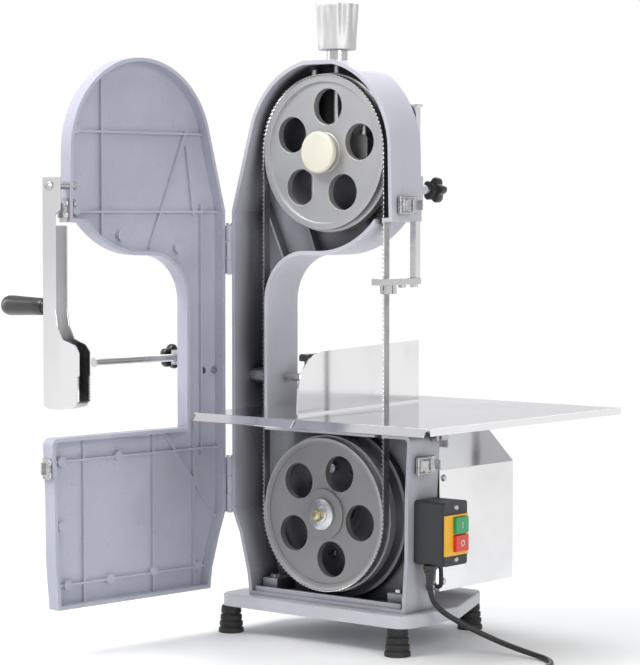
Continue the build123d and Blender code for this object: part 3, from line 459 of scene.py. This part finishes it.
def mains_lead():
    """Lead from the switch box to the bench and round to its coil and plug, as one smooth line."""
    low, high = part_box("cord_coil")
    centre = (low + high) / 2
    line = list(LEAD_ROUTE)
    for i in range(1, int(COIL_TURNS * POINTS_A_TURN) + 1):
        line.append(coil_point(i / POINTS_A_TURN, centre))
    plug_low, plug_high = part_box("plug")
    sleeve = (plug_low.x + PLUG_REACH, (plug_low.y + plug_high.y) / 2, 0.012)
    line += [(centre.x - 0.014, centre.y - 0.0462, 0.0172), (sleeve[0] + 0.004, sleeve[1], 0.0122),
             (sleeve[0] - 0.014, sleeve[1], 0.012)]
    curve = bpy.data.curves.new("mains_lead", "CURVE")
    curve.dimensions = "3D"
    spline = curve.splines.new("NURBS")
    spline.points.add(len(line) - 1)
    for point, place in zip(spline.points, line):
        point.co = (*place, 1)
    spline.order_u, spline.use_endpoint_u, spline.resolution_u = 3, True, 6
    curve.bevel_depth, curve.bevel_resolution, curve.use_fill_caps = LEAD_WIDE / 2 * MM, 5, True
    curve.materials.append(FINISHES["cable_jacket"])
    lead = bpy.data.objects.new("mains_lead", curve)
    bpy.context.scene.collection.objects.link(lead)
    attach(lead, "root")
    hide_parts("mains_cord", "cord_coil")
    return lead


def lead_plug():
    """Moulded plug on the bench: body with rounded corners, ribbed sleeve and two plated pins."""
    low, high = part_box("plug")
    y, z = (low.y + high.y) / 2 / MM, 12.0
    tail, back = (low.x + PLUG_REACH) / MM, (-1, 0, 0)
    rows = [(0, 4.3), (1, 5.0)]
    for i in range(5):
        grow = 5.0 + 0.36 * i
        rows += [(2.4 + 5.4 * i, grow), (3.0 + 5.4 * i, grow + 0.9), (5.6 + 5.4 * i, grow + 0.9),
                 (6.2 + 5.4 * i, grow)]
    sleeve = turned("plug_sleeve", rows + [(30.5, 7.0)], (tail, y, z), back, "cable_jacket", "root")
    bm = bmesh.new()
    basis = frame_along((tail - 29.5, y, z), back)
    outline = [(0.0, 7.5), (1.2, 9.8), (5.0, 11.4), (16.0, 11.6), (29.0, 11.6), (33.0, 11.0),
               (34.0, 9.6)]
    rings, steps = [], 40
    for along, half in outline:
        ring = []
        for i in range(steps):
            a = 2 * math.pi * i / steps
            round_off = (abs(math.cos(a)) ** 4 + abs(math.sin(a)) ** 4) ** -0.25
            ring.append(bm.verts.new(basis @ Vector((half * round_off * math.cos(a),
                                                     half * round_off * math.sin(a), along))))
        rings.append(ring)
    for first, second in zip(rings, rings[1:]):
        for i in range(steps):
            bm.faces.new((first[i], first[(i + 1) % steps], second[(i + 1) % steps], second[i]))
    bm.faces.new(rings[0][::-1])
    bm.faces.new(rings[-1])
    body = add_piece("plug_body", bm, "black_plastic", "root", ("plug",))
    bm = bmesh.new()
    for side in (-7, 7):
        pin = [(0, 2.4, 0), (15.5, 2.4, 0), (17.4, 1.5, 0), (18, 0.6, 0)]
        turn_profile(bm, pin, (tail - 62.6, y + side, z), back, steps=24)
    pins = add_piece("plug_pins", bm, "fastener_steel", "root")
    return [sleeve, body, pins]


def hex_rows(bm, start, direction, across, height):
    """A nut or bolt head: hexagon with its corners chamfered off at both ends."""
    basis = frame_along(start, direction)
    rings = []
    for along, shrink in ((0, 0.93), (height * 0.12, 1.0), (height * 0.86, 1.0), (height, 0.93)):
        ring = []
        for i in range(6):
            for turn in (-24, -12, 0, 12, 24):
                a = math.radians(60 * i + turn)
                r = across / 2 / math.cos(math.radians(turn)) * shrink
                ring.append(bm.verts.new(basis @ Vector((r * math.cos(a), r * math.sin(a), along))))
        rings.append(ring)
    count = len(rings[0])
    for low, high in zip(rings, rings[1:]):
        for i in range(count):
            bm.faces.new((low[i], low[(i + 1) % count], high[(i + 1) % count], high[i]))
    bm.faces.new(rings[0][::-1])
    bm.faces.new(rings[-1])


def glands():
    """Strain relief of the mains lead, and the plated nut and bush of the motor lead."""
    x, y, top = 180.0, 10.0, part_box("switch_box")[0].z / MM
    bm = bmesh.new()
    hex_rows(bm, (x, y, top - 6), (0, 0, 1), 17, 6)
    rows = [(0, 7.6), (2, 7.9), (5, 7.9), (6.2, 6.4)]
    for i in range(4):
        rows += [(7.0 + 3.6 * i, 6.2 - 0.42 * i), (8.8 + 3.6 * i, 6.2 - 0.42 * i),
                 (9.2 + 3.6 * i, 5.2 - 0.30 * i), (10.4 + 3.6 * i, 5.2 - 0.30 * i)]
    turn_profile(bm, [(a, r, 0) for a, r in rows] + [(22.0, 4.1, 0)], (x, y, top - 5), (0, 0, -1))
    mains = add_piece("mains_gland", bm, "black_plastic", "root", ("cable_glands",))
    bm = bmesh.new()
    hex_rows(bm, (155.8, 44, 88), (1, 0, 0), 15, 4.2)
    turn_profile(bm, [(0, 5.6, 0), (2.2, 5.4, 0), (3.0, 4.2, 0), (5.2, 3.6, 0)], (159.8, 44, 88),
                 (1, 0, 0))
    turn_profile(bm, [(-1, 6.2, 0), (3, 6.2, 0), (4.4, 5.0, 0), (5.4, 3.6, 0)], (178, 36, top),
                 (0, 0, -1))
    add_piece("motor_lead_bushes", bm, "fastener_steel", "root")
    return mains


def motor_lead():
    """Short lead that leaves the switch box downward and turns into the casting."""
    curve = bpy.data.curves.new("motor_lead", "CURVE")
    curve.dimensions = "3D"
    line = [(178, 36, 122), (178, 36.2, 113), (178, 37, 103), (176.5, 39.2, 94), (172, 42.2, 88.8),
            (166, 43.8, 88), (159, 44, 88), (152, 44, 88)]
    spline = curve.splines.new("NURBS")
    spline.points.add(len(line) - 1)
    for point, place in zip(spline.points, line):
        point.co = (*(Vector(place) * MM), 1)
    spline.order_u, spline.use_endpoint_u, spline.resolution_u = 3, True, 8
    curve.bevel_depth, curve.bevel_resolution, curve.use_fill_caps = 3.0 * MM, 5, True
    curve.materials.append(FINISHES["cable_jacket"])
    lead = bpy.data.objects.new("motor_lead", curve)
    bpy.context.scene.collection.objects.link(lead)
    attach(lead, "root")
    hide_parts("motor_cable")


# ------------------------------------------------------------------ blade, knobs, feet, wheels
def toothed_blade():
    """Endless band with set teeth on its front edge, round both wheels."""
    low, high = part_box("blade")
    outer = (high.x - low.x) / 2 / MM
    lower_z, upper_z = low.z / MM + outer, high.z / MM - outer
    back, thick, teeth = high.y / MM, 0.9, 276
    straight = upper_z - lower_z
    arc = math.pi * (outer - thick / 2)
    loop = 2 * (straight + arc)

    def station(s):
        """Centre of the band and its outward direction at distance s along the loop."""
        s %= loop
        if s < straight:
            return Vector((outer, 0, upper_z - s)), Vector((1, 0, 0))
        s -= straight
        if s < arc:
            a = -math.pi * s / arc
            out = Vector((math.cos(a), 0, math.sin(a)))
            return Vector((0, 0, lower_z)) + out * outer, out
        s -= arc
        if s < straight:
            return Vector((-outer, 0, lower_z + s)), Vector((-1, 0, 0))
        a = math.pi - math.pi * (s - straight) / arc
        out = Vector((math.cos(a), 0, math.sin(a)))
        return Vector((0, 0, upper_z)) + out * outer, out

    bm = bmesh.new()
    rings = []
    for tooth in range(teeth):
        set_side = (0.25, 0.0, -0.25, 0.0)[tooth % 4]
        for share, front, lean in ((0.0, 2.6, 0.3), (0.30, 3.7, 0.0), (0.58, 2.8, 0.0), (0.86, 0.0, 1.0),
                                   (0.95, 0.2, 1.0)):
            rim, out = station((tooth + share) / teeth * loop)
            shift = out * (set_side * lean)
            ring = []
            for depth, y, moved in ((0, front, 1), (0, 5.0, 0), (0, back - 0.2, 0), (0.2, back, 0),
                                    (thick - 0.2, back, 0), (thick, back - 0.2, 0), (thick, 5.0, 0),
                                    (thick, front, 1)):
                place = rim - out * depth + shift * moved + Vector((0, y, 0))
                ring.append(bm.verts.new(place * MM))
            rings.append(ring)
    for ring, after in zip(rings, rings[1:] + rings[:1]):
        for i in range(8):
            j = (i + 1) % 8
            bm.faces.new((ring[i], ring[j], after[j], after[i]))
    add_piece("toothed_blade", bm, "blade_steel", "root", ("blade",), crease=28.0)


def star_grip(name, start, direction, radius, height, body, node, phase=0.0):
    """Five-lobed grip with a rounded rim and a dished top, on a round boss."""
    h = height
    rows = [(-4.0, 3.0, 0), (0.0, 3.0, 0), (0.0, radius * 0.50, 0), (h * 0.34, radius * 0.50, 0),
            (h * 0.36, radius * 0.72, radius * 0.10), (h * 0.38, radius * 0.94, radius * 0.26),
            (h * 0.48, radius, radius * 0.27), (h * 0.80, radius * 0.99, radius * 0.27),
            (h * 0.94, radius * 0.92, radius * 0.25), (h, radius * 0.80, radius * 0.20),
            (h, radius * 0.52, 0), (h * 0.95, radius * 0.44, 0), (h * 0.95, radius * 0.06, 0)]
    turned(name, rows, start, direction, "black_plastic", body, (node,), flutes=5, sharp=1.4,
           steps=80, phase=phase)


def fluted_knob():
    """Alloy tension knob: eight flutes, wider at the top, with a turned recess in its end."""
    low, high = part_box("tension_knob")
    foot = (low.x + high.x) / 2 / MM, (low.y + high.y) / 2 / MM, low.z / MM
    size = (high.z - low.z) / MM
    rows = [(0, 21.5, 0), (0.0, 24.8, 0), (1.0, 25.9, 0), (5.0, 26.2, 0), (12.0, 26.8, 0.7),
            (24.0, 27.6, 2.0), (40.0, 28.8, 3.2), (size - 5, 30.1, 3.8), (size - 1.6, 30.3, 3.7),
            (size - 0.4, 29.7, 3.4), (size, 28.8, 3.0), (size, 21.0, 0), (size - 1.2, 19.6, 0),
            (size - 1.4, 7.0, 0), (size - 0.4, 6.2, 0), (size - 0.2, 0.6, 0)]
    turned("fluted_knob", rows, foot, (0, 0, 1), "knob_metal", "tension_screw_body",
           ("tension_knob",), flutes=10, sharp=1.3, steps=160)


def rubber_feet():
    """Four ringed rubber feet under the base."""
    bm = bmesh.new()
    points = [v.co for v in frame["nodes"]["feet"].data.vertices]
    rows = [(1.2, 0.5), (1.2, 11.0), (0.0, 12.6), (0.0, 16.8), (0.7, 17.8)]
    for base, radius in ((0, 17.9), (9, 16.9), (18, 15.7)):
        rows += [(base + 5.6, radius - 0.4), (base + 6.8, radius - 1.2), (base + 7.4, radius - 3.0),
                 (base + 8.8, radius - 3.2), (base + 9.4, radius - 1.6)]
    rows += [(29.0, 14.4), (35.0, 13.8), (37.2, 13.2), (38.0, 12.2)]
    for right in (False, True):
        for rear in (False, True):
            mine = [p for p in points if (p.x > 0) == right and (p.y > 0.1) == rear]
            x = (min(p.x for p in mine) + max(p.x for p in mine)) / 2 / MM
            y = (min(p.y for p in mine) + max(p.y for p in mine)) / 2 / MM
            turn_profile(bm, [(a, r, 0) for a, r in rows], (x, y, 0), (0, 0, 1), steps=56)
    add_piece("rubber_feet", bm, "black_rubber", "root", ("feet",))


def pusher_grip():
    """Black handle, swelling towards its rounded end, on a plated collar."""
    start = on_door(149, -27, 465)
    way = door_way(0, -1)
    rows = [(0.0, 8.2), (6.5, 8.2), (8.2, 8.9), (8.6, 10.6), (10.0, 11.4), (26.0, 11.7), (52.0, 12.5),
            (74.0, 13.4), (82.0, 13.3), (87.0, 12.0), (90.2, 9.0), (91.6, 5.0), (92.0, 0.8)]
    turned("pusher_grip", rows, start, way, "black_plastic", "pusher", ("pusher_handle",), steps=64)


def hub_cap():
    """Ivory cap pressed over the upper wheel's hub."""
    low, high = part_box("wheel_cap")
    x, z, front = (low.x + high.x) / 2 / MM, (low.z + high.z) / 2 / MM, low.y / MM
    rows = [(0.0, 0.6), (0.0, 24.0), (0.35, 26.2), (1.3, 27.8), (2.8, 28.5), (5.4, 28.5), (6.0, 27.9),
            (6.0, 22.0), (15.8, 22.0), (16.0, 21.6), (16.0, 17.2), (15.6, 17.0), (6.6, 17.0), (6.6, 0.6)]
    turned("hub_cap", rows, (x, front, z), (0, 1, 0), "ivory_plastic", "upper_wheel_body",
           ("wheel_cap",), steps=72)


def clamp_bolt():
    """Lower wheel's clamp: thick washer, spring washer and a yellow zinc bolt head."""
    low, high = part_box("wheel_clamp_bolt")
    x, z, front = (low.x + high.x) / 2 / MM, (low.z + high.z) / 2 / MM, low.y / MM
    bm = bmesh.new()
    turn_profile(bm, [(0, 20.2, 0), (0.8, 21.4, 0), (4.9, 21.4, 0), (5.5, 20.8, 0)], (x, -2, z),
                 (0, 1, 0), steps=72)
    turn_profile(bm, [(0, 11.4, 0), (0.4, 12.0, 0), (2.6, 12.0, 0)], (x, -4.5, z), (0, 1, 0))
    add_piece("clamp_washers", bm, "machined_steel", "rotor", ("wheel_clamp_bolt",))
    bm = bmesh.new()
    hex_rows(bm, (x, front, z), (0, 1, 0), 17, 7.5)
    turn_profile(bm, [(0, 5.2, 0), (0.25, 5.6, 0), (1.0, 5.6, 0)], (x, front - 0.3, z), (0, 1, 0))
    add_piece("clamp_bolt_head", bm, "yellow_zinc", "rotor")


def button_mark(name, body, node, ring):
    """Raised bar or ring on a button's face, in white."""
    low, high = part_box(node)
    centre = ((low.y + high.y) / 2 / MM, (low.z + high.z) / 2 / MM)
    bm = bmesh.new()
    basis = frame_along((high.x / MM - 0.15, centre[0], centre[1]), (1, 0, 0))
    steps = 40
    loops = []
    for reach, lift in ((3.0, 0), (3.0, 0.5), (4.4, 0.5), (4.4, 0)):
        loop = []
        for i in range(steps):
            a = 2 * math.pi * i / steps
            if ring:
                flat = Vector((reach * math.cos(a), reach * math.sin(a), lift))
            else:
                slim = 0.55 if reach < 4 else 0.85
                wide = Vector((slim * math.cos(a), slim * math.sin(a), lift))
                flat = wide + Vector((0, math.copysign(3.4, math.sin(a)), 0)) * (slim / 0.85)
            loop.append(bm.verts.new(basis @ flat))
        loops.append(loop)
    for first, second in zip(loops, loops[1:] + (loops[:1] if ring else [])):
        for i in range(steps):
            bm.faces.new((first[i], first[(i + 1) % steps], second[(i + 1) % steps], second[i]))
    if not ring:
        bm.faces.new(loops[0])
        bm.faces.new(loops[-1])
    add_piece(name, bm, "ivory_plastic", body)


# ------------------------------------------------------------------ everything
SOFT_EDGES = {
    "housing": 1.1, "door_shell": 0.9, "base_plate": 0.6, "upper_wheel": 0.6, "lower_wheel": 0.6,
    "motor_cover": 0.35, "table": 0.3, "fence": 0.3, "pusher_channel": 0.3, "guide_post": 0.5,
    "guide_arm": 0.6, "guide_blocks": 0.4, "post_clamp": 0.8, "table_bolts": 0.35,
    "latch_bases": 0.3, "body_hinges": 0.5, "door_hinges": 0.5, "door_keepers": 0.3,
    "switch_box": 0.5, "switch_lid": 0.7, "switch_bezel": 0.25, "green_button": 0.6,
    "red_button": 0.6, "upper_latch_lever": 0.35, "lower_latch_lever": 0.35, "door_bolts": 0.3,
    "gauge_clamp": 0.7, "gauge_rod": 0.5, "tension_collar": 0.7, "motor_bolts": 0.4,
    "small_screws": 0.2, "tension_carriage": 0.8, "motor_flange": 0.8, "table_brackets": 0.3,
    "hinge_pins": 0.4, "fence_rod": 0.5,
}


def dress_nodes():
    for name, piece in frame["nodes"].items():
        piece.data.materials.clear()
        piece.data.materials.append(FINISHES[SLOT_OF_NODE[name]])
    for name, width in SOFT_EDGES.items():
        soften(name, width)


def lay_floor():
    mesh = bpy.data.meshes.new("bench")
    bm = bmesh.new()
    bmesh.ops.create_grid(bm, x_segments=2, y_segments=2, size=14.0)
    bm.to_mesh(mesh)
    bm.free()
    f = Finish("pale_bench", Metallic=0.0, Specular_IOR_Level=0.2, Emission_Strength=1.0)
    out = f.node("VectorMath", {"operation": "LENGTH"}, {0: f.place()}, out="Value").over(0.5, 1.5)
    f.set(Base_Color=f.tint(out, grey(0.92), grey(0.0)), Roughness=0.8,
          Emission_Color=f.tint(out, grey(0.0), grey(1.0)))
    mesh.materials.append(f.material)
    bench = bpy.data.objects.new("bench", mesh)
    bpy.context.scene.collection.objects.link(bench)


set_camera()
FINISHES = make_finishes()
lead = mains_lead()
plug = lead_plug()
gland = glands()
set_studio()
dress_nodes()
motor_lead()
toothed_blade()
fluted_knob()
hub_cap()
clamp_bolt()
rubber_feet()
pusher_grip()
gauge_turn = JOINTS["gauge_knob_turn"]
star_grip("gauge_star", Vector(gauge_turn["pos_m"]) / MM + Vector(gauge_turn["axis"]) * 0.5,
          gauge_turn["axis"], 18, 18, "gauge_knob_body", "gauge_knob", 0.6)
post_low, post_high = (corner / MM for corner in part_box("post_knob"))
post_centre = ((post_low.x + post_high.x) / 2, (post_low.z + post_high.z) / 2)
star_grip("post_star", (post_centre[0], post_high.y - 20, post_centre[1]), (0, 1, 0), 18, 20,
          "post_knob_body", "post_knob", 0.2)
turned("post_stud", [(0, 3.2), (0.8, 4.0), (25, 4.0)], (post_centre[0], post_low.y, post_centre[1]),
       (0, 1, 0), "machined_steel", "post_knob_body")
fence_low, fence_high = (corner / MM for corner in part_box("fence_knob"))
star_grip("fence_star", ((fence_low.x + fence_high.x) / 2, (fence_low.y + fence_high.y) / 2,
                         fence_high.z - 16), (0, 0, 1), 15, 16, "fence_knob_body", "fence_knob")
button_mark("start_mark", "green_button_body", "green_button", False)
button_mark("stop_mark", "red_button_body", "red_button", True)
lay_floor()
